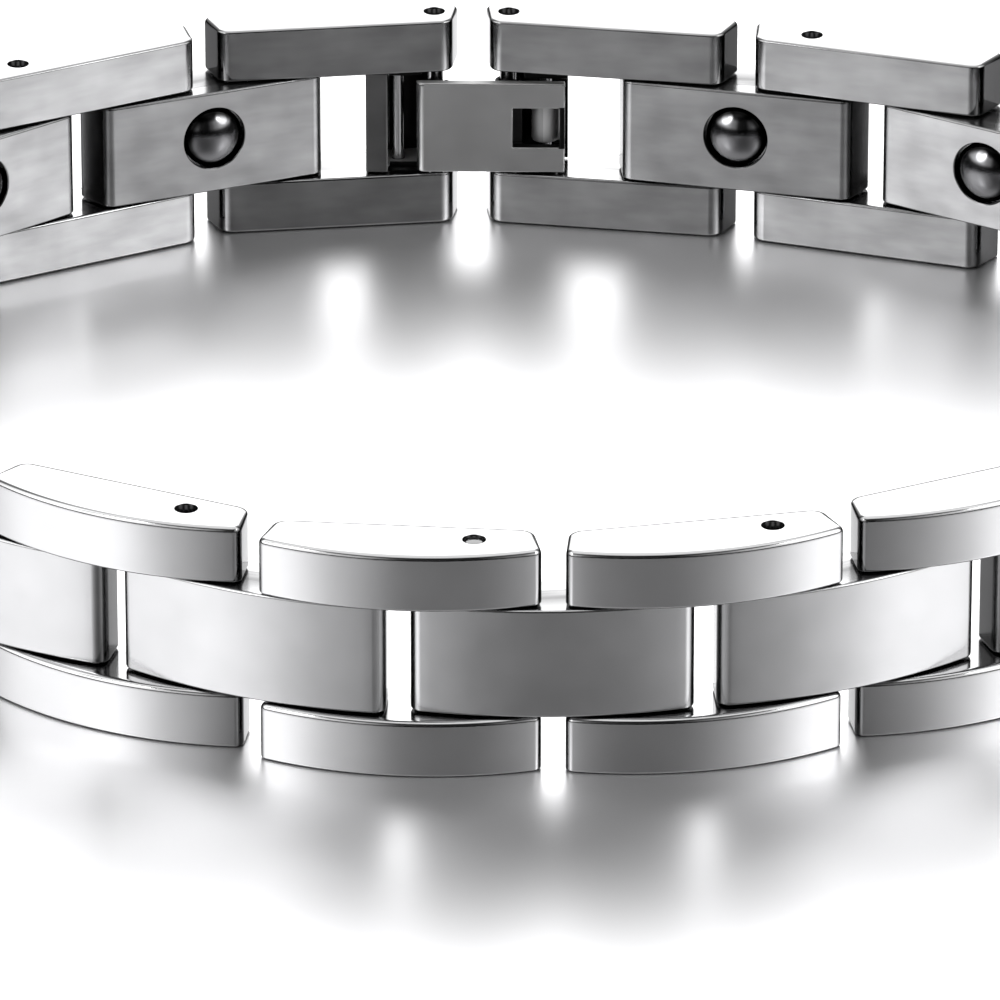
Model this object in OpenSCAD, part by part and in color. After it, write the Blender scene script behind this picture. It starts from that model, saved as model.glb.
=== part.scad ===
// Stainless steel link bracelet with magnets and a fold-over clasp.
// The closed loop stands on its lower edge. Z is the height of the band,
// X runs along the front and +Y points to the back, where the clasp is.

/* [Band] */
// Height of the whole band, from the lower to the upper edge
band_h = 11; // [10:0.5:13]
// Height of one outer link, the upper or the lower one
outer_h = 2.75; // [2.4:0.05:3]
// Play above and below a middle link
row_gap = 0.08; // [0.05:0.01:0.15]

/* [Outer links] */
// Length of an outer link along its outer face
outer_len = 12.95; // [12.4:0.05:13.2]
// Length of an outer link along its inner face
outer_len_in = 11.6; // [11:0.1:12]
// Thickness of an outer link at its ends
outer_thick = 2.25; // [2:0.05:2.5]
// How far the outer face swells past its ends
outer_swell = 1.3; // [0.8:0.1:1.5]
// Distance between the two pins of an outer link
outer_pitch = 6.56; // [6.5:0.01:6.6]
// Distance from an outer link's inner face to its pins
outer_pin_depth = 1.4; // [1.2:0.05:1.5]

/* [Middle links] */
// Length of a middle link along its outer face
middle_len = 13; // [12.4:0.05:13.2]
// Length of a middle link along its inner face
middle_len_in = 11.5; // [11:0.1:12]
// Thickness of a middle link at its ends
middle_thick = 2.3; // [2:0.05:2.5]
// How far the outer face swells past its ends
middle_swell = 0.9; // [0.5:0.1:1.2]
// Distance between the two bores of a middle link
middle_pitch = 7.04; // [7:0.01:7.1]
// Distance from a middle link's inner face to its bores
middle_pin_depth = 1.55; // [1.4:0.05:1.7]

/* [Edges and pins] */
// Width of the bevel that stands for each rounded edge
edge = 0.35; // [0.2:0.05:0.4]
// Diameter of the link pins
pin_d = 0.9; // [0.7:0.1:1]
// Play of a pin in its bore, on the radius
pin_play = 0.05; // [0.03:0.01:0.08]
// Diameter of the open pin hole in an upper link's top face
pin_hole_d = 1.05; // [1.05:0.05:1.2]
// Depth of that hole down to the sunk pin
pin_hole_depth = 0.9; // [0.5:0.1:1.5]
// How far the clasp-side pin of an end link sits past the common place
end_pin_shift = 1.85; // [1.7:0.05:1.9]

/* [Magnets] */
// Diameter of a magnet
magnet_d = 3.1; // [2.8:0.1:3.2]
// How far a magnet stands out of its link at the middle of its dome
magnet_proud = 0.5; // [0.3:0.05:0.6]
// Height of the magnet's dome
magnet_dome = 0.6; // [0.3:0.05:0.65]
// Depth of the recess that holds it
magnet_recess = 0.7; // [0.5:0.1:0.9]
// Play round the magnet in its recess
magnet_play = 0.07; // [0.05:0.01:0.1]
// How far the magnets sit above the middle of the band
magnet_lift = 0.2; // [0:0.05:0.3]

/* [Clasp] */
// Thickness of the cover's wall
cover_wall = 0.45; // [0.4:0.05:0.5]
// How far the cover's outer face swells past its ends
cover_swell = 0.5; // [0.3:0.1:0.8]
// Thickness of the cover's cheeks
cheek_h = 0.35; // [0.3:0.05:0.4]
// Thickness of the inner leaf
leaf_wall = 0.48; // [0.4:0.02:0.5]
// Height of the inner leaf
leaf_h = 4.8; // [4.4:0.1:4.8]
// Width of the two finger notches in the cover's long edges
notch_w = 3.8; // [3:0.1:4.2]
// Depth of the finger notches
notch_depth = 1.72; // [1:0.02:1.8]
// Height of the window in the leaf
window_h = 2.12; // [1.8:0.02:2.4]
// Diameter of the hinge pin
hinge_pin_d = 0.7; // [0.6:0.05:0.8]
// Diameter of the rolled knuckle round the hinge pin
knuckle_d = 1.36; // [1.3:0.02:1.4]
// Diameter of the snap bar
snap_bar_d = 0.6; // [0.5:0.05:0.8]

/* [Hidden] */
$fn = 64;
// Outer links round the loop, each an upper and a lower one, with a middle link or the clasp between
outer_count = 16;

function two(k) = k < 10 ? str("0", k) : str(k);

// Turn at each pin, in order from the clasp counter-clockwise: the back left links,
// the hidden left side, the front, the hidden right side and the back right links
back_left_turns = [15.5, 5.5];
front_turns = [3.5, 17, 7, 10.5, 13, 2];
back_right_turns = [4.5, 4.5];
side_pins = 10;
// Mean turn at a pin of each hidden side. Swell spreads a side's turn to or from its middle,
// and lean moves it to or from its end.
left_turn = 12.546;
right_turn = 13.449;
left_swell = -2.98;
left_lean = -1.486;
right_swell = -0.242;
right_lean = 0.475;
function side_turns(mean, swell, lean) = [
    for (j = [0 : side_pins - 1])
        mean + swell * cos(360 * (j + 0.5) / side_pins) + lean * (2 * j - side_pins + 1) / (side_pins - 1)
];
turns = concat(back_left_turns, side_turns(left_turn, left_swell, left_lean), front_turns,
               side_turns(right_turn, right_swell, right_lean), back_right_turns);

// First pin, beside the clasp, and the way the loop leaves it
first_pin = [-5.132, 34.634];
first_heading = 187.437;
// Middle of the loop's outline, which becomes the origin
loop_middle = [0.2583, 3.154];

spans = len(turns) + 1;
headings = [for (j = 0, h = first_heading; j < spans; h = h + (j < spans - 1 ? turns[j] : 0), j = j + 1) h];
function span_length(j) = j % 2 == 0 ? outer_pitch : middle_pitch;
pins = [
    for (j = 0, p = first_pin - loop_middle; j <= spans;
         p = p + (j < spans ? span_length(j) * [cos(headings[j]), sin(headings[j])] : [0, 0]), j = j + 1) p
];

middle_z0 = outer_h + row_gap;
middle_h = band_h - 2 * middle_z0;
upper_z0 = band_h - outer_h;
magnet_z = band_h / 2 + magnet_lift;
far = 30;

// The clasp takes the span between the last pin and the first
clasp_from = pins[spans];
clasp_to = pins[0];
clasp_pitch = norm(clasp_to - clasp_from);
clasp_heading = atan2(clasp_to[1] - clasp_from[1], clasp_to[0] - clasp_from[0]);
hinge_x = -clasp_pitch / 2;
bar_x = clasp_pitch / 2;

// Places a shape in the frame of a span: x runs counter-clockwise along the loop,
// y = 0 is the line of the pins and +y points into the loop
module on_span(j) {
    translate((pins[j] + pins[j + 1]) / 2) rotate(headings[j]) children();
}

module on_clasp() {
    translate((clasp_from + clasp_to) / 2) rotate(clasp_heading) children();
}

// Radius of an arc from its chord and its rise
function arc_radius(chord, rise) = (chord * chord / 4 + rise * rise) / (2 * rise);

// Outline seen from above: flat inner face, slanted ends, cut corners.
// The outer side stays open for the swell, which the puck below cuts.
module link_outline(len_out, len_in, thick, swell, pin_depth) {
    a = len_in / 2;
    b = len_out / 2;
    y_out = pin_depth - thick;
    slope = (b - a) / thick;
    rise = asin(b / arc_radius(len_out, swell));
    shoulder = [b - edge * slope, y_out + edge];
    corner = [b - edge * cos(rise), y_out - edge * sin(rise)];
    tail = shoulder + 6 * (corner - shoulder);
    right = [[a - edge, pin_depth], [a + edge * slope, pin_depth - edge], shoulder, tail];
    polygon(concat(right, [for (i = [3 : -1 : 0]) [-right[i][0], right[i][1]]]));
}

// Round disc whose rim is the swollen outer face, with bevelled upper and lower edges
module swell_puck(len_out, thick, swell, pin_depth, h) {
    r = arc_radius(len_out, swell);
    translate([0, pin_depth - thick - swell + r, 0])
        rotate_extrude($fn = 180)
            polygon([[0, 0], [r - edge, 0], [r, edge], [r, h - edge], [r - edge, h], [0, h]]);
}

// Bevels the upper and lower edges of one end face, whose plane passes through the two corners
module end_trim(len_out, len_in, thick, pin_depth, h) {
    slant = atan2((len_out - len_in) / 2, thick);
    translate([len_in / 2, pin_depth, 0]) rotate(slant)
        rotate([90, 0, 0]) translate([0, 0, -far / 2]) linear_extrude(far)
            polygon([[-far, 0], [-edge, 0], [0, edge], [0, h - edge], [-edge, h], [-far, h]]);
}

// Bevels the upper and lower edges of the inner face
module inner_trim(pin_depth, h) {
    translate([-far / 2, 0, 0]) rotate([90, 0, 90]) linear_extrude(far)
        polygon([[-far, 0], [pin_depth - edge, 0], [pin_depth, edge], [pin_depth, h - edge],
                 [pin_depth - edge, h], [-far, h]]);
}

// One bevelled link body with a swollen outer face, standing on z = 0
module link_body(len_out, len_in, thick, swell, pin_depth, h) {
    intersection() {
        linear_extrude(h) link_outline(len_out, len_in, thick, swell, pin_depth);
        swell_puck(len_out, thick, swell, pin_depth, h);
        inner_trim(pin_depth, h);
        end_trim(len_out, len_in, thick, pin_depth, h);
        mirror([1, 0, 0]) end_trim(len_out, len_in, thick, pin_depth, h);
    }
}

module outer_body() {
    link_body(outer_len, outer_len_in, outer_thick, outer_swell, outer_pin_depth, outer_h);
}

// Upper and lower outer link on their two pressed pins. hole_x is where the upper link's
// hole stays open above a sunk pin.
module outer_pair(pin_xs, hole_x) {
    difference() {
        union() {
            outer_body();
            translate([0, 0, upper_z0]) outer_body();
            for (x = pin_xs) translate([x, 0, outer_h / 2]) cylinder(h = band_h - outer_h, d = pin_d);
        }
        translate([hole_x, 0, band_h - pin_hole_depth]) cylinder(h = pin_hole_depth + 1, d = pin_hole_d);
    }
}

module outer_link(k) {
    near_x = -outer_pitch / 2;
    far_x = outer_pitch / 2;
    color("silver") on_span(2 * (k - 1)) {
        if (k == 1) outer_pair([near_x - end_pin_shift, far_x], near_x - end_pin_shift);
        else if (k == outer_count) outer_pair([near_x, far_x + end_pin_shift], far_x + end_pin_shift);
        else outer_pair([near_x, far_x], far_x);
    }
}

module middle_link(k) {
    color("gainsboro") on_span(2 * k - 1) difference() {
        translate([0, 0, middle_z0])
            link_body(middle_len, middle_len_in, middle_thick, middle_swell, middle_pin_depth, middle_h);
        for (x = [-middle_pitch / 2, middle_pitch / 2])
            translate([x, 0, middle_z0 - 1]) cylinder(h = middle_h + 2, d = pin_d + 2 * pin_play);
        translate([0, middle_pin_depth - magnet_recess, magnet_z]) rotate([-90, 0, 0])
            cylinder(h = magnet_recess + 1, d = magnet_d + 2 * magnet_play);
    }
}

// A short round magnet with a domed face, seated in its recess
module magnet(k) {
    dome_r = arc_radius(magnet_d, magnet_dome);
    length = magnet_recess - magnet_play + magnet_proud;
    color("dimgray") on_span(2 * k - 1)
        translate([0, middle_pin_depth - magnet_recess + magnet_play, magnet_z]) rotate([-90, 0, 0])
            intersection() {
                cylinder(h = length, d = magnet_d);
                translate([0, 0, length - dome_r]) sphere(r = dome_r);
            }
}

// Clasp, in the frame of its own span: the hinge is at the back right end, the snap bar at the left.
// The leaf hangs a little low in the band.
leaf_in = 1.28;
leaf_back = leaf_in - leaf_wall;
leaf_drop = 0.2;
leaf_z0 = band_h / 2 - leaf_drop - leaf_h / 2;
leaf_bar_end = 2.75;
leaf_hinge_end = -4.7;
window_from = -4.45;
window_to = -2.08;
window_z0 = leaf_z0 + (leaf_h - window_h) / 2;
hinge_y = 0.1;
hinge = [hinge_x, hinge_y];
knuckle_play = 0.05;
knuckle_h = window_h - 2 * knuckle_play;
knuckle_z0 = window_z0 + knuckle_play;
web_from = 0;
web_to = 0.35;
// How far the pieces on the leaf's back sink into its wall
sink = 0.1;
// Pins of the end links, in the clasp's frame
bar_side_turn = headings[0] - clasp_heading;
hinge_side_turn = clasp_heading + 360 - headings[spans - 1];
hook_pin = [bar_x, 0] - end_pin_shift * [cos(bar_side_turn), sin(bar_side_turn)];
sleeve_pin = [hinge_x, 0] + end_pin_shift * [cos(hinge_side_turn), -sin(hinge_side_turn)];
sleeve_wall = 0.2;
sleeve_r = pin_d / 2 + pin_play + sleeve_wall;
hold_inset = 0.4;
hold_z0 = leaf_z0 + hold_inset;
hold_h = leaf_h - 2 * hold_inset;

// A boss on the leaf's back that reaches out to a pin of an end link
module pin_boss(p) {
    translate([p[0] - sleeve_r, p[1], hold_z0]) cube([2 * sleeve_r, leaf_back + sink - p[1], hold_h]);
}

module pin_bore(p) {
    translate([p[0], p[1], 0]) cylinder(h = band_h, r = pin_d / 2 + pin_play);
}

// Leaf on the wrist side: a plate with a window, a sleeve round one end link's pin, an open hook
// for the other's, and a strip beyond the window that is rolled back round the hinge pin
module clasp_leaf() {
    color("silver") on_clasp() difference() {
        union() {
            difference() {
                union() {
                    translate([leaf_hinge_end, leaf_back, leaf_z0])
                        cube([leaf_bar_end - leaf_hinge_end, leaf_wall, leaf_h]);
                    pin_boss(sleeve_pin);
                    pin_boss(hook_pin);
                }
                translate([window_from, leaf_back - sink, window_z0])
                    cube([window_to - window_from, leaf_wall + 2 * sink, window_h]);
            }
            translate([sleeve_pin[0], sleeve_pin[1], hold_z0]) cylinder(h = hold_h, r = sleeve_r);
            translate([hinge[0], hinge[1], knuckle_z0]) cylinder(h = knuckle_h, d = knuckle_d);
            translate([leaf_hinge_end, web_from, knuckle_z0])
                cube([hinge_x - knuckle_d / 4 - leaf_hinge_end, web_to - web_from, knuckle_h]);
            translate([leaf_hinge_end, web_from, knuckle_z0])
                cube([window_from - leaf_hinge_end, leaf_in - web_from, knuckle_h]);
        }
        pin_bore(sleeve_pin);
        pin_bore(hook_pin);
        // The hook stays open outward, the width of the end link's pin
        translate([hook_pin[0] - pin_d / 2 - pin_play, hook_pin[1] - far, 0])
            cube([pin_d + 2 * pin_play, far, band_h]);
        translate([hinge[0], hinge[1], 0]) cylinder(h = band_h, d = hinge_pin_d + 2 * pin_play);
    }
}

cover_hinge_end = -4.85;
cover_bar_end = 5.3;
cover_len = cover_bar_end - cover_hinge_end;
cover_mid = (cover_bar_end + cover_hinge_end) / 2;
cover_end_y = -1.25;
cover_r = arc_radius(cover_len, cover_swell);
cover_centre = [cover_mid, cover_end_y - cover_swell + cover_r];
cover_edge = 0.2;
lip_from = 4.2;
lip_in = 1.2;
lip_sink = 0.3;
// Depths of the cheeks. The upper hinge cheek passes over the leaf, the lower one stays behind it.
bar_cheek_in = 0.6;
upper_cheek_in = 0.9;
lower_cheek_in = leaf_back - 0.05;
cheek_bar_from = 2.5;
cheek_hinge_to = -2.65;
notch_round = 0.6;
// An ear this small round the hinge pin stays clear of the leaf as the cover swings
ear_r = leaf_back - hinge_y - 0.06;
rivet_play = 0.02;

// Outline of the cheeks at both ends of the cover, x_end being where the hinge cheek ends
module cheek_outline(hinge_in, x_end) {
    wall_y = cover_end_y - cover_swell;
    intersection() {
        translate(cover_centre) circle(r = cover_r - cover_wall / 2, $fn = 180);
        union() {
            translate([cheek_bar_from, wall_y])
                square([lip_from + lip_sink - cheek_bar_from, bar_cheek_in - wall_y]);
            translate([hinge_x, wall_y]) square([cheek_hinge_to - hinge_x, hinge_in - wall_y]);
            translate([x_end, wall_y]) square([hinge_x - x_end, hinge_y - wall_y]);
            translate(hinge) circle(r = ear_r);
        }
    }
}

// One finger notch, with rounded corners, cut through the cover's wall from its edge at z
module finger_notch(z) {
    x = notch_w / 2 - notch_round;
    y = notch_depth - notch_round;
    translate([0, 0, z]) rotate([90, 0, 0]) linear_extrude(far) {
        square([2 * x, 2 * notch_depth], center = true);
        square([notch_w, 2 * y], center = true);
        for (at = [[x, y], [-x, y], [x, -y], [-x, -y]]) translate(at) circle(r = notch_round);
    }
}

// Cover on the outer side: a swollen wall with a thick lip at its free end and two pairs of cheeks,
// notched in the middle of both long edges for a finger
module clasp_cover() {
    color("gainsboro") on_clasp() difference() {
        union() {
            difference() {
                intersection() {
                    translate([cover_hinge_end, -far / 2, middle_z0])
                        cube([cover_len, far / 2 + lip_in, middle_h]);
                    translate([cover_centre[0], cover_centre[1], middle_z0]) rotate_extrude($fn = 180)
                        polygon([[0, 0], [cover_r - cover_edge, 0], [cover_r, cover_edge],
                                 [cover_r, middle_h - cover_edge], [cover_r - cover_edge, middle_h],
                                 [0, middle_h]]);
                }
                intersection() {
                    translate([cover_centre[0], cover_centre[1], 0])
                        cylinder(h = band_h, r = cover_r - cover_wall, $fn = 180);
                    translate([lip_from - far, -far / 2, 0]) cube([far, far, band_h]);
                }
            }
            translate([0, 0, middle_z0]) linear_extrude(cheek_h)
                cheek_outline(lower_cheek_in, hinge_x - ear_r);
            translate([0, 0, band_h - middle_z0 - cheek_h]) linear_extrude(cheek_h) {
                cheek_outline(upper_cheek_in, cover_hinge_end);
                translate([cover_hinge_end, hinge_y - sink])
                    square([hinge_x - cover_hinge_end + sink, upper_cheek_in - hinge_y + sink]);
            }
        }
        finger_notch(middle_z0);
        finger_notch(band_h - middle_z0);
        translate([hinge[0], hinge[1], 0]) cylinder(h = band_h, d = hinge_pin_d + 2 * rivet_play);
        translate([bar_x, 0, 0]) cylinder(h = band_h, d = snap_bar_d + 2 * rivet_play);
    }
}

// Round bar from cheek to cheek
module cheek_bar(p, d) {
    color("silver") on_clasp() translate([p[0], p[1], middle_z0]) cylinder(h = middle_h, d = d);
}

module clasp_snap_bar() {
    cheek_bar([bar_x, 0], snap_bar_d);
}

module clasp_hinge_pin() {
    cheek_bar(hinge, hinge_pin_d);
}

for (k = [1 : outer_count]) outer_link(k);
for (k = [1 : outer_count - 1]) middle_link(k);
for (k = [1 : outer_count - 1]) magnet(k);
clasp_leaf();
clasp_cover();
clasp_snap_bar();
clasp_hinge_pin();
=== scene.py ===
# Stainless steel link bracelet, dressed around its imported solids. Lengths are in mm until a
# mesh is made, where MM turns them into metres.
import math

import bmesh
import bpy
from mathutils import Matrix, Vector


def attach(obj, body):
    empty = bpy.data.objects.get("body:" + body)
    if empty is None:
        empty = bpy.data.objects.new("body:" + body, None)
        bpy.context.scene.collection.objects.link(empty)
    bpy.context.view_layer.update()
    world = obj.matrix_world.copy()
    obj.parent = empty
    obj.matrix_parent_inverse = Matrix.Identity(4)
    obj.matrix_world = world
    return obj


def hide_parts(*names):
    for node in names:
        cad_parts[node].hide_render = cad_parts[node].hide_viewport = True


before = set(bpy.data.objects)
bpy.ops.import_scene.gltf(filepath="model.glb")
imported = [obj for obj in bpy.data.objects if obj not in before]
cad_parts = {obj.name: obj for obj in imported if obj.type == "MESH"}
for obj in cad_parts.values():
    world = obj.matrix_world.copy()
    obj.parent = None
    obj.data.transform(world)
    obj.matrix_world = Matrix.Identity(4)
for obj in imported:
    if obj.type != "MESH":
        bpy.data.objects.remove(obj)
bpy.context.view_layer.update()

MM = 0.001

# Sizes of the band, the same as those of the solids
BAND_H = 11.0
OUTER_H = 2.75
ROW_GAP = 0.08
OUTER_PITCH, MIDDLE_PITCH = 6.56, 7.04
OUTER = dict(len_out=12.95, len_in=11.6, thick=2.25, swell=1.3, depth=1.4)
MIDDLE = dict(len_out=13.2, len_in=11.5, thick=2.3, swell=0.9, depth=1.55)
PIN_D, BORE_D, HOLE_D, HOLE_DEPTH, END_PIN_SHIFT = 0.9, 1.06, 1.05, 0.9, 1.85
MAGNET_D, MAGNET_PROUD, MAGNET_RECESS, MAGNET_PLAY = 3.1, 0.5, 0.7, 0.07
MAGNET_Z = BAND_H / 2 + 0.2
OUTER_COUNT = 16
MIDDLE_Z0 = OUTER_H + ROW_GAP
MIDDLE_H = BAND_H - 2 * MIDDLE_Z0

# Roundings of the links' edges: the upright corners, then the upper edges at the inner and the
# outer face, then the lower edges
OUTER_CORNERS, MIDDLE_CORNERS = dict(outer_r=0.42, inner_r=0.75), dict(outer_r=0.6, inner_r=0.6)
TOP_EDGES, FOOT_EDGES, SEAM_EDGES = (0.15, 0.3), (0.22, 0.14), (0.13, 0.14)
# The upper links' inner edges are rounded this many times as wide as high
TOP_FLATNESS = 2.2

# A pin starts inside the lower link and ends in a low dome, sunk in its hole. One link's pin sits
# high in its hole.
PIN_GRIP, PIN_DOME, PIN_SHOULDER = 0.2, 0.12, (0.08, 0.03)
PIN_SUNK, HIGH_PIN_SUNK, HIGH_PIN = 0.7, 0.1, 8

# Width and depth of the slanted rim of a pin hole and of a magnet's recess, and how far their
# cutters reach past the face
HOLE_RIM, RECESS_RIM = (0.03, 0.03), (0.06, 0.05)
CUT_PAST = 0.02

# A magnet's steepest place in degrees, the bevel at its foot, and where its rim gets dark, as
# shares of its radius
DOME_STEEPEST, MAGNET_EDGE = 54, 0.05
DARK_RIM = (0.7, 0.84)

# Points nearer to each other than this become one, in a new body, after a cut and in the clasp.
# What is smaller than TINY counts as nothing.
NEW_WELD, CUT_WELD, CLASP_WELD = 1e-5, 1e-4, 1e-3
TINY = 1e-6

# Turns of the loop at its pins, counter-clockwise from the clasp
SIDE_PINS = 10


def side_turns(mean, swell, lean):
    return [mean + swell * math.cos(math.radians(360 * (j + 0.5) / SIDE_PINS))
            + lean * (2 * j - SIDE_PINS + 1) / (SIDE_PINS - 1) for j in range(SIDE_PINS)]


TURNS = ([15.5, 5.5] + side_turns(12.546, -2.98, -1.486) + [3.5, 17, 7, 10.5, 13, 2]
         + side_turns(13.449, -0.242, 0.475) + [4.5, 4.5])
# Where the loop's middle, the model's origin, lies from the point that the camera looks at
LOOP_MIDDLE = (0.2583, 3.154)
FIRST_PIN = Vector((-5.132 - LOOP_MIDDLE[0], 34.634 - LOOP_MIDDLE[1]))
FIRST_HEADING = 187.437


def unit(turn):
    return Vector((math.cos(turn), math.sin(turn)))


def walk():
    """Pins of the loop and the heading of each span, by the same steps as the solids."""
    pins, headings = [FIRST_PIN.copy()], []
    heading = FIRST_HEADING
    for j in range(len(TURNS) + 1):
        headings.append(heading)
        length = MIDDLE_PITCH if j % 2 else OUTER_PITCH
        pins.append(pins[-1] + length * unit(math.radians(heading)))
        if j < len(TURNS):
            heading += TURNS[j]
    return pins, headings


PINS, HEADINGS = walk()


def placing(a, b, turn):
    """Places a mesh made in the frame of a span from a to b: x along it, y into the loop, z up."""
    mid = (a + b) / 2
    return Matrix.Translation((mid.x, mid.y, 0)) @ Matrix.Rotation(turn, 4, "Z")


def span_frame(j):
    return placing(PINS[j], PINS[j + 1], math.radians(HEADINGS[j]))


def clasp_frame():
    a, b = PINS[-1], PINS[0]
    return placing(a, b, math.atan2(b.y - a.y, b.x - a.x))


# Rounded link bodies


def arc_radius(chord, rise):
    return (chord * chord / 4 + rise * rise) / (2 * rise)


def link_rim(len_out, len_in, thick, swell, depth, outer_r, inner_r):
    """Outline of a link seen from above: point, outward normal and share of the way to the outer
    face."""
    arc_steps, corner_steps = 28, 6
    a, b, y_out = len_in / 2, len_out / 2, depth - thick
    big = arc_radius(len_out, swell)
    centre = Vector((0, y_out - swell + big))
    end = Vector((b - a, -thick)).normalized()
    n_end = Vector((-end.y, end.x))
    # A corner's middle lies where the end face's line, drawn in by its radius, meets the other
    # face, drawn in as well
    base = Vector((a, depth)) - n_end * inner_r
    inner = base + end * ((depth - inner_r - base.y) / end.y)
    base = Vector((a, depth)) - n_end * outer_r
    rel = base - centre
    half_b = rel.dot(end)
    along = -half_b + math.sqrt(half_b ** 2 - rel.length_squared + (big - outer_r) ** 2)
    outer = base + end * along
    n_outer = (outer - centre).normalized()

    def corner(p, r, n0, n1, share):
        a0, a1 = math.atan2(n0.y, n0.x), math.atan2(n1.y, n1.x)
        normals = [unit(a0 + (a1 - a0) * i / corner_steps) for i in range(corner_steps + 1)]
        return [(p + r * n, n, share) for n in normals]

    right = (corner(outer, outer_r, n_outer, n_end, 1.0)
             + corner(inner, inner_r, n_end, Vector((0, 1)), 0.0))
    left = [(Vector((-p.x, p.y)), Vector((-n.x, n.y)), share) for p, n, share in reversed(right)]
    half = math.atan2(n_outer.x, -n_outer.y)
    arc = []
    for i in range(1, arc_steps):
        t = half * (2 * i / arc_steps - 1)
        n = Vector((math.sin(t), -math.cos(t)))
        arc.append((centre + n * big, n, 1.0))
    return right + left + arc


def rounded_prism(bm, rim, top, bottom, z0, h, steps=6, flat=1):
    """A body within the outline, between z0 and z0 + h. top and bottom are the roundings of its
    upper and lower edges, each at the inner face and at the outer face. flat says how many times
    as wide as high the rounding is at the upper inner edge."""
    # A narrow last ring keeps the shading of the flat ends flat
    last_ring = 0.03
    rings = []
    for lo, hi, z, up in ((*bottom, z0, -1), (*top, z0 + h, 1)):
        turns = [(math.pi / 2 * i / steps, 0) for i in range(steps + 1)]
        turns.append((math.pi / 2, last_ring))
        for t, more in (reversed(turns) if up < 0 else turns):
            ring = []
            for p, n, share in rim:
                r = lo + (hi - lo) * share
                wide = flat + (1 - flat) * share if up > 0 else 1
                q = p - n * (r * wide * (1 - math.cos(t)) + more)
                ring.append(bm.verts.new((q.x, q.y, z - up * r * (1 - math.sin(t)))))
            rings.append(ring)
    count = len(rim)
    for lower, upper in zip(rings, rings[1:]):
        for i in range(count):
            k = (i + 1) % count
            bm.faces.new((lower[i], lower[k], upper[k], upper[i]))
    bm.faces.new(list(reversed(rings[0])))
    bm.faces.new(rings[-1])
    bmesh.ops.remove_doubles(bm, verts=bm.verts, dist=NEW_WELD)
    bmesh.ops.dissolve_degenerate(bm, edges=bm.edges, dist=TINY)
    bmesh.ops.recalc_face_normals(bm, faces=bm.faces)


def in_scene(name, data):
    obj = bpy.data.objects.new(name, data)
    bpy.context.scene.collection.objects.link(obj)
    return obj


def new_object(name, bm):
    mesh = bpy.data.meshes.new(name)
    bm.to_mesh(mesh)
    bm.free()
    return in_scene(name, mesh)


def turned_point(axis, at, u, v, w):
    """A point at w along an axis through at, and at u and v beside it."""
    if axis == "Z":
        return (at[0] + u, at[1] + v, at[2] + w)
    return (at[0] + u, at[1] + w, at[2] + v)


def turned_profile(bm, profile, at, axis="Z", steps=48):
    """A closed body turned from (radius, height) points about an axis through at."""
    circle = [(math.cos(2 * math.pi * i / steps), math.sin(2 * math.pi * i / steps))
              for i in range(steps)]
    rings = []
    for radius, height in profile:
        spots = [(0, 0)] if radius < TINY else [(radius * c, radius * s) for c, s in circle]
        rings.append([bm.verts.new(turned_point(axis, at, u, v, height)) for u, v in spots])
    for lower, upper in zip(rings, rings[1:]):
        for i in range(steps):
            k = (i + 1) % steps
            unique = []
            for v in (lower[i % len(lower)], lower[k % len(lower)],
                      upper[k % len(upper)], upper[i % len(upper)]):
                if v not in unique:
                    unique.append(v)
            if len(unique) > 2:
                bm.faces.new(unique)


def cut(obj, profile, at, axis="Z", steps=48):
    """Cuts a turned body out of an object."""
    bm = bmesh.new()
    turned_profile(bm, profile, at, axis, steps)
    bmesh.ops.recalc_face_normals(bm, faces=bm.faces)
    combine(obj, new_object("cutter", bm), "DIFFERENCE")


def blind_hole(radius, depth, rim):
    """Profile of a blind hole with a slanted rim. It reaches a little past the face."""
    wide, deep = rim
    return [(0, -depth), (radius, -depth), (radius, -deep),
            (radius + wide, CUT_PAST), (0, CUT_PAST)]


def combine(obj, other, operation):
    """Joins another object to this one or takes it away."""
    mod = obj.modifiers.new("combine", "BOOLEAN")
    mod.operation, mod.solver, mod.object = operation, "EXACT", other
    apply_modifiers(obj)
    bpy.data.objects.remove(other)
    bm = bmesh.new()
    bm.from_mesh(obj.data)
    bmesh.ops.remove_doubles(bm, verts=bm.verts, dist=CUT_WELD)
    bm.to_mesh(obj.data)
    bm.free()


def apply_modifiers(obj):
    deps = bpy.context.evaluated_depsgraph_get()
    mesh = bpy.data.meshes.new_from_object(obj.evaluated_get(deps))
    old = obj.data
    obj.modifiers.clear()
    obj.data = mesh
    bpy.data.meshes.remove(old)


def smooth_by_weight(obj):
    """Smooth shading whose normals follow the large flat faces, so that only the edges look
    round."""
    sharp_from, weight = math.radians(40), 80
    for p in obj.data.polygons:
        p.use_smooth = True
    obj.data.set_sharp_from_angle(angle=sharp_from)
    mod = obj.modifiers.new("normals", "WEIGHTED_NORMAL")
    mod.keep_sharp, mod.weight = True, weight


def new_attributes(mesh, *kinds):
    """Makes all the attributes before it takes hold of any, because each new one moves the
    others."""
    for name, kind, domain in kinds:
        mesh.attributes.new(name, kind, domain)
    return [mesh.attributes[name] for name, kind, domain in kinds]


def store_place_and_shade(obj, shares):
    """Keeps each point's place in its own piece, in mm, so that the finish follows the piece, and
    the shares by which it is darkened there: on a link the painted shade of inner face, end face
    and edge, on a magnet its dark rim."""
    places, painted_shade_and_dark_rim = new_attributes(obj.data, ("local_mm", "FLOAT_VECTOR", "POINT"),
                                  ("painted_shade_and_dark_rim", "FLOAT_COLOR", "POINT"))
    for i, v in enumerate(obj.data.vertices):
        places.data[i].vector = v.co
        painted_shade_and_dark_rim.data[i].color = (*shares(v), 1)


def soft_step(lo, hi, value):
    t = min(1, max(0, (value - lo) / (hi - lo)))
    return t * t * (3 - 2 * t)


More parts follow.
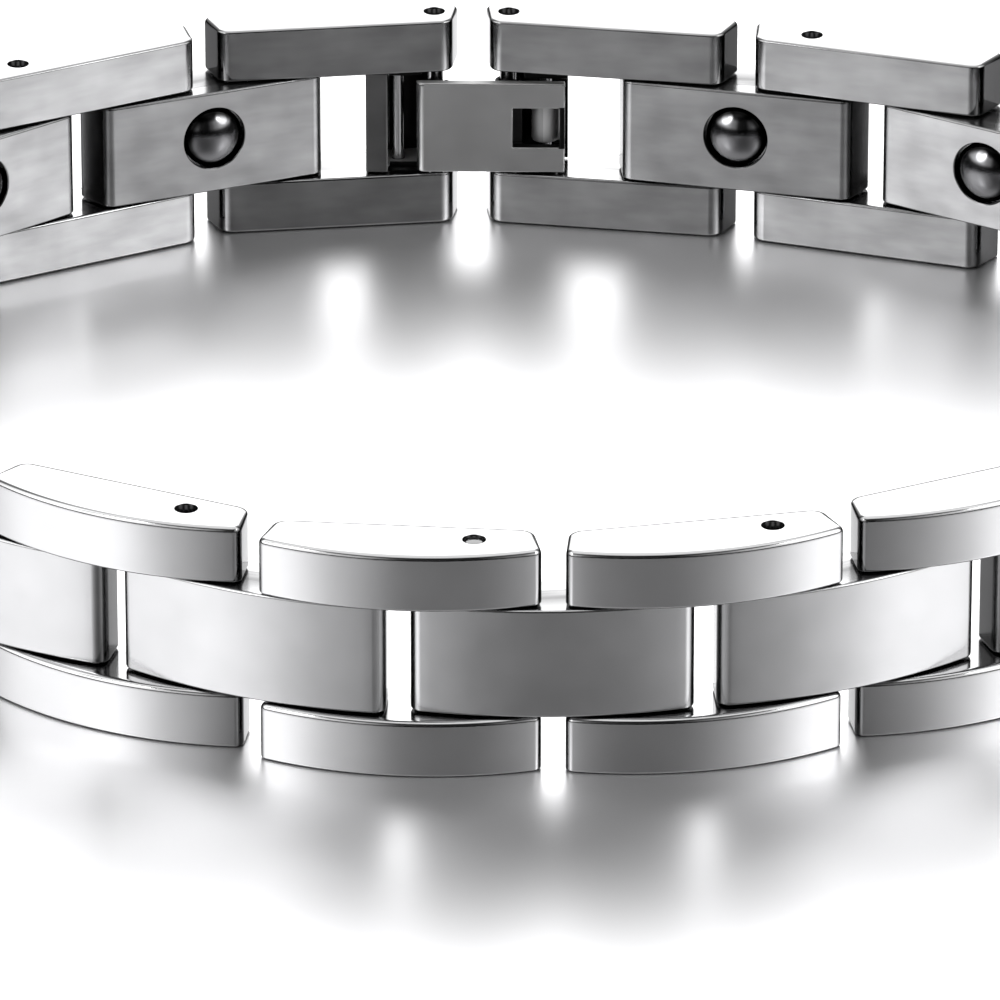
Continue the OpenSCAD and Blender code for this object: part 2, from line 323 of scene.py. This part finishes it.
# How far a link's surface leans inward, to an end and down, from where it starts to be an inner or
# an end face to where it is one, and the same for the upper edges beside these faces
INNER_LEAN, END_LEAN, UNDER_LEAN = (0.35, 0.6), (0.5, 0.8), (0.2, 0.5)
EDGE_INNER_LEAN, EDGE_END_LEAN, EDGE_UP_LEAN = (0.03, 0.2), (0.45, 0.7), (0.15, 0.4)
# Points this near to a recess or a hole belong to its rim
RECESS_NEAR, HOLE_NEAR = 0.3, 0.1
# The top of a hole's wall, this deep, is left out of the painted shade
HOLE_RIM_BRIGHT = 0.01


def link_shares(v, hole_x=None):
    """Shares of painted shade on a link's inner faces, ends, undersides, upper edges and hole wall.
    """
    co, n = v.co, v.normal
    if math.hypot(co.x, co.z - MAGNET_Z) < MAGNET_D / 2 + RECESS_NEAR:
        # The rim of the magnet's recess is like the face round it
        return 1, 0, 0
    if hole_x is not None and math.hypot(co.x - hole_x, co.y) < HOLE_D / 2 + HOLE_NEAR:
        # Painted shade darkens the wall of the pin hole below its rim
        below_rim = BAND_H - HOLE_DEPTH - HOLE_NEAR < co.z < BAND_H - HOLE_RIM_BRIGHT
        return 0, 1 if below_rim else 0, 0
    inner = soft_step(*INNER_LEAN, n.y)
    end = max(soft_step(*END_LEAN, abs(n.x)), soft_step(*UNDER_LEAN, -n.z))
    edge = max(soft_step(*EDGE_INNER_LEAN, n.y), soft_step(*EDGE_END_LEAN, abs(n.x)))
    return inner, end, edge * soft_step(*EDGE_UP_LEAN, n.z)


def placed_copy(master, name, matrix):
    mesh = master.data.copy()
    mesh.name = name
    mesh.transform(matrix)
    mesh.transform(Matrix.Scale(MM, 4))
    obj = in_scene(name, mesh)
    for m in master.modifiers:
        mod = obj.modifiers.new(m.name, m.type)
        mod.keep_sharp, mod.weight = m.keep_sharp, m.weight
    return obj


def outer_master(pin_xs, hole_x, pin_sunk=PIN_SUNK):
    """Upper and lower outer link with their pins. The pin at hole_x shows in the open hole."""
    rim = link_rim(**OUTER, **OUTER_CORNERS)
    bm = bmesh.new()
    rounded_prism(bm, rim, TOP_EDGES, FOOT_EDGES, 0, OUTER_H)
    obj = new_object("outer_master", bm)
    bm = bmesh.new()
    rounded_prism(bm, rim, TOP_EDGES, SEAM_EDGES, BAND_H - OUTER_H, OUTER_H, 8, flat=TOP_FLATNESS)
    upper = new_object("upper", bm)
    cut(upper, blind_hole(HOLE_D / 2, HOLE_DEPTH, HOLE_RIM), (hole_x, 0, BAND_H))
    start, r, (side, down) = OUTER_H - PIN_GRIP, PIN_D / 2, PIN_SHOULDER
    for x in pin_xs:
        top = BAND_H - OUTER_H / 2 if x != hole_x else BAND_H - pin_sunk
        bm = bmesh.new()
        turned_profile(bm, [(0, start), (r, start), (r, top - PIN_DOME), (r - side, top - down),
                            (0, top)], (x, 0, 0), steps=24)
        bmesh.ops.recalc_face_normals(bm, faces=bm.faces)
        combine(obj, new_object("pin", bm), "UNION")
    combine(obj, upper, "UNION")
    store_place_and_shade(obj, lambda v: link_shares(v, hole_x))
    smooth_by_weight(obj)
    return obj


def middle_master():
    bm = bmesh.new()
    rim = link_rim(**MIDDLE, **MIDDLE_CORNERS)
    rounded_prism(bm, rim, SEAM_EDGES, SEAM_EDGES, MIDDLE_Z0, MIDDLE_H)
    obj = new_object("middle_master", bm)
    cut(obj, blind_hole(MAGNET_D / 2 + MAGNET_PLAY, MAGNET_RECESS, RECESS_RIM),
        (0, MIDDLE["depth"], MAGNET_Z), axis="Y")
    bore = [(0, 0), (BORE_D / 2, 0), (BORE_D / 2, BAND_H), (0, BAND_H)]
    for x in (-MIDDLE_PITCH / 2, MIDDLE_PITCH / 2):
        cut(obj, bore, (x, 0, 0), steps=32)
    store_place_and_shade(obj, link_shares)
    smooth_by_weight(obj)
    return obj


def magnet_master():
    base, top, r = -MAGNET_RECESS + MAGNET_PLAY, MAGNET_PROUD, MAGNET_D / 2
    profile = [(0, base), (r - MAGNET_EDGE, base), (r, base + MAGNET_EDGE)]
    # The dome is a piece of a ball, whose rim sits a little below the link's face
    steps, steepest = 20, math.radians(DOME_STEEPEST)
    ball = r / math.sin(steepest)
    for i in range(steps, -1, -1):
        t = steepest * i / steps
        profile.append((ball * math.sin(t), top - ball * (1 - math.cos(t))))
    bm = bmesh.new()
    turned_profile(bm, profile, (0, MIDDLE["depth"], MAGNET_Z), axis="Y", steps=64)
    bmesh.ops.remove_doubles(bm, verts=bm.verts, dist=NEW_WELD)
    bmesh.ops.recalc_face_normals(bm, faces=bm.faces)
    obj = new_object("magnet_master", bm)

    def shares(v):
        """The rim is darker than the dome."""
        dark = soft_step(DARK_RIM[0] * r, DARK_RIM[1] * r, math.hypot(v.co.x, v.co.z - MAGNET_Z))
        return dark, dark, dark

    store_place_and_shade(obj, shares)
    smooth_by_weight(obj)
    return obj


# Materials


def feed(tree, node, inputs):
    """Gives each of the node's inputs a value or the output that feeds it."""
    for key, value in inputs.items():
        if isinstance(value, bpy.types.NodeSocket):
            tree.links.new(value, node.inputs[key])
        else:
            node.inputs[key].default_value = value
    return node


def attribute(tree, name):
    node = tree.nodes.new("ShaderNodeAttribute")
    node.attribute_name = name
    return node


def math_node(tree, operation, *values):
    node = tree.nodes.new("ShaderNodeMath")
    node.operation = operation
    return feed(tree, node, dict(enumerate(values))).outputs[0]


def remapped(tree, value, lo, hi, to_lo, to_hi, interpolation="LINEAR"):
    node = tree.nodes.new("ShaderNodeMapRange")
    node.interpolation_type = interpolation
    return feed(tree, node, {"Value": value, "From Min": lo, "From Max": hi,
                             "To Min": to_lo, "To Max": to_hi}).outputs["Result"]


def mixed(tree, blend_type, factor, a, b):
    node = tree.nodes.new("ShaderNodeMix")
    node.data_type, node.blend_type = "RGBA", blend_type
    return feed(tree, node, {"Factor": factor, "A": a, "B": b}).outputs["Result"]


def mapped(tree, vector, scale, location):
    node = tree.nodes.new("ShaderNodeMapping")
    inputs = {"Vector": vector, "Scale": scale, "Location": location}
    return feed(tree, node, inputs).outputs["Vector"]


def noise(tree, vector, scale, detail):
    node = tree.nodes.new("ShaderNodeTexNoise")
    return feed(tree, node, {"Vector": vector, "Scale": scale, "Detail": detail}).outputs["Fac"]


def grey(value):
    return (value, value, value, 1)


def material(name):
    mat = bpy.data.materials.new(name)
    mat.use_nodes = True
    tree = mat.node_tree
    bsdf = next(n for n in tree.nodes if n.type == "BSDF_PRINCIPLED")
    return mat, tree, bsdf


# How far the clouds change the roughness, how much rougher a satin place is, and how deep the
# grain is in metres
CLOUD_ROUGH, SATIN_ROUGH, GRAIN_DEPTH = 0.04, 0.4, 0.00002
# How much of the change of shade is grain, and how much is clouds
GRAIN_SHADE, CLOUD_SHADE = 0.35, 0.65


def steel(name, color, rough, grain, bump, stretch, seed, inner=0.7, end=0.35, edge=0.35,
          mottle=0.12):
    """Metal with a fine grain and soft cloudy changes of gloss and shade. inner, end and edge say
    how much of the colour is left under the painted shade of inner faces, ends and edges."""
    mat, tree, bsdf = material(name)
    place = attribute(tree, "local_mm").outputs["Vector"]
    grain_place = mapped(tree, place, scale=stretch, location=(seed, seed * 1.7, seed * 0.3))
    fine = noise(tree, grain_place, scale=1.0, detail=4.0)
    cloud = noise(tree, place, scale=0.35, detail=2.0)
    roughness = math_node(tree, "ADD", remapped(tree, fine, 0, 1, rough - grain, rough + grain),
                          remapped(tree, cloud, 0, 1, -CLOUD_ROUGH, CLOUD_ROUGH))
    satin = attribute(tree, "satin").outputs["Fac"]
    roughness = math_node(tree, "MULTIPLY_ADD", satin, SATIN_ROUGH, roughness)
    shade = math_node(tree, "MULTIPLY_ADD", fine, GRAIN_SHADE,
                      remapped(tree, cloud, 0.3, 0.7, 0.0, CLOUD_SHADE))
    result = mixed(tree, "MIX", shade, (*[c * (1 - mottle) for c in color], 1),
                   (*[min(1, c * (1 + mottle)) for c in color], 1))
    # Painted shade darkens inner faces, ends and upper edges, and the clasp's hollows
    painted_shade_and_dark_rim = tree.nodes.new("ShaderNodeSeparateColor")
    feed(tree, painted_shade_and_dark_rim, {"Color": attribute(tree, "painted_shade_and_dark_rim").outputs["Color"]})
    for part, left in (("Red", inner), ("Green", end), ("Blue", edge)):
        result = mixed(tree, "MULTIPLY", painted_shade_and_dark_rim.outputs[part], result, grey(left))
    # The inner faces have soft blotches and streaks along the link
    streak_place = mapped(tree, place, scale=(0.3, 0.8, 1.3), location=(seed * 2.3, 0, seed))
    streak = noise(tree, streak_place, scale=1.0, detail=4.0)
    blotch = remapped(tree, math_node(tree, "ADD", cloud, streak), 0.72, 1.28, 0.84, 1.16)
    result = mixed(tree, "MULTIPLY", painted_shade_and_dark_rim.outputs["Red"], result, blotch)
    bumper = tree.nodes.new("ShaderNodeBump")
    feed(tree, bumper, {"Strength": bump, "Distance": GRAIN_DEPTH, "Height": fine})
    feed(tree, bsdf, {"Metallic": 1.0, "Roughness": roughness, "Base Color": result,
                      "Normal": bumper.outputs["Normal"]})
    return mat


# The grain runs along the links and up the clasp's bars
ALONG, UPRIGHT = (0.8, 14, 14), (8, 8, 0.8)

# inner, end and edge: how much colour each steel keeps under its painted shade
outer_steel = steel("outer_steel", (0.55, 0.55, 0.555), rough=0.13, grain=0.02, bump=0.04,
                    stretch=ALONG, seed=3, end=0.28, edge=0.8, mottle=0.05)
middle_steel = steel("middle_steel", (0.50, 0.50, 0.505), rough=0.22, grain=0.04, bump=0.1,
                     stretch=ALONG, seed=7, end=0.28, edge=0.6, mottle=0.09)
leaf_steel = steel("leaf_steel", (0.60, 0.60, 0.60), rough=0.22, grain=0.05, bump=0.08,
                   stretch=ALONG, seed=11, inner=0.03)
cover_steel = steel("cover_steel", (0.50, 0.50, 0.50), rough=0.22, grain=0.05, bump=0.08,
                    stretch=ALONG, seed=17, inner=0.02)
bar_steel = steel("bar_steel", (0.55, 0.55, 0.56), rough=0.18, grain=0.03, bump=0.1,
                  stretch=UPRIGHT, seed=13)

magnet_mat, tree, bsdf = material("magnet_black")
feed(tree, bsdf, {"Metallic": 1.0, "Roughness": 0.14,
                  "Base Color": mixed(tree, "MIX", attribute(tree, "painted_shade_and_dark_rim").outputs["Fac"],
                                      (0.17, 0.17, 0.175, 1), grey(0.006))})


def dress(obj, mat):
    obj.data.materials.clear()
    obj.data.materials.append(mat)


# Links and magnets in place of their plain solids

left_pin, right_pin = -OUTER_PITCH / 2, OUTER_PITCH / 2
left_end_pin, right_end_pin = left_pin - END_PIN_SHIFT, right_pin + END_PIN_SHIFT
masters = {
    "first": outer_master([left_end_pin, right_pin], left_end_pin),
    "last": outer_master([left_pin, right_end_pin], right_end_pin),
    "plain": outer_master([left_pin, right_pin], right_pin),
    "high_pin": outer_master([left_pin, right_pin], right_pin, HIGH_PIN_SUNK),
}
middle = middle_master()
magnet = magnet_master()

for k in range(1, OUTER_COUNT + 1):
    kind = {1: "first", OUTER_COUNT: "last", HIGH_PIN: "high_pin"}.get(k, "plain")
    obj = placed_copy(masters[kind], f"rounded_outer_link_{k:02d}", span_frame(2 * (k - 1)))
    dress(obj, outer_steel)
    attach(obj, "band")
    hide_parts(f"outer_link_{k:02d}")
magnets = bpy.data.collections.new("magnets")
for k in range(1, OUTER_COUNT):
    for master, word, mat in ((middle, "middle_link", middle_steel),
                              (magnet, "magnet", magnet_mat)):
        obj = placed_copy(master, f"rounded_{word}_{k:02d}", span_frame(2 * k - 1))
        dress(obj, mat)
        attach(obj, "band")
        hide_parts(f"{word}_{k:02d}")
        if word == "magnet":
            magnets.objects.link(obj)
for master in [*masters.values(), middle, magnet]:
    bpy.data.objects.remove(master)


# Clasp in place of its plain solids


# How far a face of the clasp leans to one side before it counts as facing it
FACING = (0.3, 0.6)


def nowhere(p, n):
    return 0


def upward(p, n):
    return soft_step(*FACING, n.z)


def softened(name, width, inside=nowhere, matt=nowhere, shortest=0, round_end=None, splits=()):
    """A copy of one of the clasp's solids with soft edges. inside says where shade is painted on
    it, matt where it is rough, round_end gives the place (x, y) of an upright edge with a wider
    rounding, and splits are planes (point, normal) along which faces are parted, so that each part
    can have its own painted shade. Edges that touch one shorter than shortest stay as they are."""
    flat_below, sharp_from = math.radians(1), math.radians(35)
    end_width, end_near = 0.4, 0.02
    local = clasp_frame()
    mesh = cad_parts[name].data.copy()
    mesh.name = "rounded_" + name
    mesh.transform(local.inverted() @ Matrix.Scale(1 / MM, 4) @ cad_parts[name].matrix_world)
    bm = bmesh.new()
    bm.from_mesh(mesh)
    bmesh.ops.remove_doubles(bm, verts=bm.verts, dist=CUT_WELD)
    bmesh.ops.dissolve_limit(bm, angle_limit=flat_below, verts=bm.verts, edges=bm.edges)
    if round_end:
        edges = [e for e in bm.edges
                 if all(math.hypot(v.co.x - round_end[0], v.co.y - round_end[1]) < end_near
                        for v in e.verts)]
        bmesh.ops.bevel(bm, geom=edges, offset=end_width, segments=8, profile=0.5, affect="EDGES")
    edges = [e for e in bm.edges if e.is_manifold and e.calc_face_angle(0) > sharp_from
             and min(other.calc_length() for v in e.verts for other in v.link_edges) > shortest]
    bmesh.ops.bevel(bm, geom=edges, offset=width, segments=3, profile=0.5, affect="EDGES",
                    clamp_overlap=not shortest)
    bmesh.ops.remove_doubles(bm, verts=bm.verts, dist=CLASP_WELD)
    for point, normal in splits:
        bmesh.ops.bisect_plane(bm, geom=bm.verts[:] + bm.edges[:] + bm.faces[:], dist=CUT_WELD,
                               plane_co=point, plane_no=normal)
    bmesh.ops.recalc_face_normals(bm, faces=bm.faces)
    bm.to_mesh(mesh)
    bm.free()
    obj = in_scene("rounded_" + name, mesh)
    places, painted_shade_and_dark_rim, satin = new_attributes(mesh, ("local_mm", "FLOAT_VECTOR", "POINT"),
                                         ("painted_shade_and_dark_rim", "FLOAT_COLOR", "CORNER"),
                                         ("satin", "FLOAT", "CORNER"))
    for i, v in enumerate(mesh.vertices):
        places.data[i].vector = v.co
    for face in mesh.polygons:
        for i in face.loop_indices:
            painted_shade_and_dark_rim.data[i].color = (inside(face.center, face.normal), 0, 0, 1)
            satin.data[i].value = matt(face.center, face.normal)
    mesh.transform(local)
    mesh.transform(Matrix.Scale(MM, 4))
    smooth_by_weight(obj)
    return obj


# Places on the clasp, along x and y in its own frame, and the height of the leaf's window
LEAF_BACK, LEAF_TIP, KNUCKLE_END, COVER_TAIL = 0.79, (2.75, 1.28), -2.95, 4
WINDOW_X, WINDOW_TO, WINDOW_Z = -4.45, -2.0, (4.24, 6.36)
WALL_FROM, STRIP_FROM = 0.7, 0.9
# Width of the clasp's soft edges, and a little more
CLASP_EDGE, PAST_EDGE = 0.06, 0.07


def leaf_painted_shade(p, n):
    """Painted shade: the leaf's back, the walls of its window and the strip beyond it are darkened,
    and the rounding of its free end a little."""
    level_with_window = WINDOW_Z[0] - PAST_EDGE < p.z < WINDOW_Z[1] + PAST_EDGE
    wall = abs(n.y) < 0.6 and WINDOW_X < p.x < WINDOW_TO and p.y > WALL_FROM
    beyond = p.x < WINDOW_X + PAST_EDGE and p.y > STRIP_FROM
    rounding = 0.3 if n.x > 0.15 and n.y > 0.15 else 0
    behind = p.y < LEAF_BACK and p.x > KNUCKLE_END
    return max(rounding, behind or (level_with_window and (wall or beyond)))


def leaf_matt(p, n):
    """Upward faces and the knuckle are rough."""
    return max(upward(p, n), p.y < LEAF_BACK and p.x < KNUCKLE_END)


def cover_painted_shade(p, n):
    """Painted shade: the cover is darkened where it faces into the loop, a little less at its tail.
    """
    return soft_step(*FACING, n.y) * (0.62 if p.x > COVER_TAIL else 1)


across, level = (1, 0, 0), (0, 0, 1)
leaf_splits = [((WINDOW_X + CLASP_EDGE, 0, 0), across), ((0, 0, WINDOW_Z[0] - CLASP_EDGE), level),
               ((0, 0, WINDOW_Z[1] + CLASP_EDGE), level)]
for name, mat, body, slot, softness in (
        ("clasp_leaf", leaf_steel, "band", "leaf_steel",
         dict(width=CLASP_EDGE, inside=leaf_painted_shade, matt=leaf_matt, shortest=0.055,
              round_end=LEAF_TIP, splits=leaf_splits)),
        ("clasp_cover", cover_steel, "cover", "cover_steel",
         dict(width=CLASP_EDGE, inside=cover_painted_shade, matt=upward, shortest=0.03)),
        ("clasp_snap_bar", bar_steel, "cover", "bar_steel", dict(width=0.03)),
        ("clasp_hinge_pin", bar_steel, "cover", "bar_steel", dict(width=0.03))):
    obj = softened(name, **softness)
    dress(obj, mat)
    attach(obj, body)
    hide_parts(name)

# Floor, world and camera

FLOOR_RADIUS = 1.5
bm = bmesh.new()
bmesh.ops.create_circle(bm, cap_ends=True, segments=96, radius=FLOOR_RADIUS)
floor = new_object("floor", bm)
floor_mat, tree, bsdf = material("floor")
feed(tree, bsdf, {"Base Color": (0.93, 0.93, 0.94, 1), "Metallic": 0.9, "Roughness": 0.36})
dress(floor, floor_mat)

world = bpy.data.worlds.new("studio")
bpy.context.scene.world = world
world.use_nodes = True
tree = world.node_tree
coord = tree.nodes.new("ShaderNodeTexCoord")
split = tree.nodes.new("ShaderNodeSeparateXYZ")
feed(tree, split, {"Vector": coord.outputs["Generated"]})
x, y, z = split.outputs["X"], split.outputs["Y"], split.outputs["Z"]


def by_height(lo, hi, to_lo, to_hi):
    """A soft change between two heights above the horizon, in degrees."""
    return remapped(tree, z, math.sin(math.radians(lo)), math.sin(math.radians(hi)), to_lo, to_hi,
                    "SMOOTHSTEP")


def without(light, share):
    return math_node(tree, "MULTIPLY", light, math_node(tree, "SUBTRACT", 1.0, share))


# Light round the horizon by compass angle, 0 being the front and positive to the right
AROUND = [(-180, 2.7), (-164, 2.7), (-148, 0.4), (-118, 0.1), (-104, 1.4), (-80, 2.6), (-52, 2.3),
          (-28, 0.85), (-10, 0.04), (14, 0.02), (28, 0.3), (42, 0.95), (60, 2.1), (76, 2.6),
          (100, 2.0), (116, 0.1), (148, 0.4), (164, 2.7), (180, 2.7)]
PEAK, OVERHEAD_LIGHT = 2.7, 1.25
ring = tree.nodes.new("ShaderNodeValToRGB")
ring.color_ramp.interpolation = "EASE"
stops = ring.color_ramp.elements
stops[0].color, stops[1].color = grey(AROUND[0][1] / PEAK), grey(AROUND[-1][1] / PEAK)
for angle, value in AROUND[1:-1]:
    stops.new(angle / 360 + 0.5).color = grey(value / PEAK)
turn = math_node(tree, "ARCTAN2", x, math_node(tree, "MULTIPLY", y, -1.0))
turn = math_node(tree, "ADD", math_node(tree, "DIVIDE", turn, 2 * math.pi), 0.5)
feed(tree, ring, {"Fac": turn})
around = math_node(tree, "MULTIPLY", ring.outputs["Color"], PEAK)
overhead = by_height(52, 72, 0.0, 1.0)
walls = math_node(tree, "MULTIPLY", around, by_height(9, 20, 0.03, 1.0))
# In front the light reaches less high
in_front = remapped(tree, y, -0.3, -0.05, 1.0, 0.0, "SMOOTHSTEP")
low_front = math_node(tree, "MULTIPLY", by_height(36, 46, 0.0, 0.95), in_front)
walls = without(without(walls, overhead), low_front)
above = math_node(tree, "MULTIPLY", overhead, OVERHEAD_LIGHT)
feed(tree, tree.nodes["Background"],
     {"Strength": math_node(tree, "ADD", walls, above), "Color": grey(1)})

# Lamps: compass angle, height in degrees, size in metres, power, and the only pieces they light.
# Two light everything, and two wider ones give the magnets their bright spots.
LAMPS = [(-52, 43, 0.22, 1.0, None), (62, 42, 0.22, 1.0, None),
         (-63, 38, 0.64, 4.8, magnets), (77, 38, 0.64, 3.6, magnets)]
LAMP_DISTANCE = 1.0
for angle, height, size, power, lit in LAMPS:
    turn_to, rise = math.radians(angle), math.radians(height)
    toward = Vector((math.sin(turn_to) * math.cos(rise), -math.cos(turn_to) * math.cos(rise),
                     math.sin(rise)))
    lamp_data = bpy.data.lights.new("lamp", "AREA")
    lamp_data.shape, lamp_data.size, lamp_data.energy = "DISK", size, power
    lamp = in_scene("lamp", lamp_data)
    lamp.light_linking.receiver_collection = lit
    lamp.location = toward * LAMP_DISTANCE
    lamp.rotation_euler = toward.to_track_quat("Z", "Y").to_euler()

scene = bpy.context.scene
scene.view_settings.view_transform = "Standard"

ELEVATION, DISTANCE, FOCAL_PX, FRAME_PX, SENSOR = 24.6, 525.5, 11022.0, 1000.0, 36.0
aim = Vector((-LOOP_MIDDLE[0], -LOOP_MIDDLE[1], 0))
down = math.radians(ELEVATION)
cam_data = bpy.data.cameras.new("camera")
cam = in_scene("camera", cam_data)
cam.location = (aim + Vector((0, -DISTANCE * math.cos(down), DISTANCE * math.sin(down)))) * MM
cam.rotation_euler = (math.radians(90 - ELEVATION), 0, 0)
cam_data.sensor_fit = "AUTO"
cam_data.sensor_width = SENSOR
cam_data.lens = SENSOR * FOCAL_PX / FRAME_PX
cam_data.clip_start, cam_data.clip_end = 0.01, 10.0
scene.camera = cam
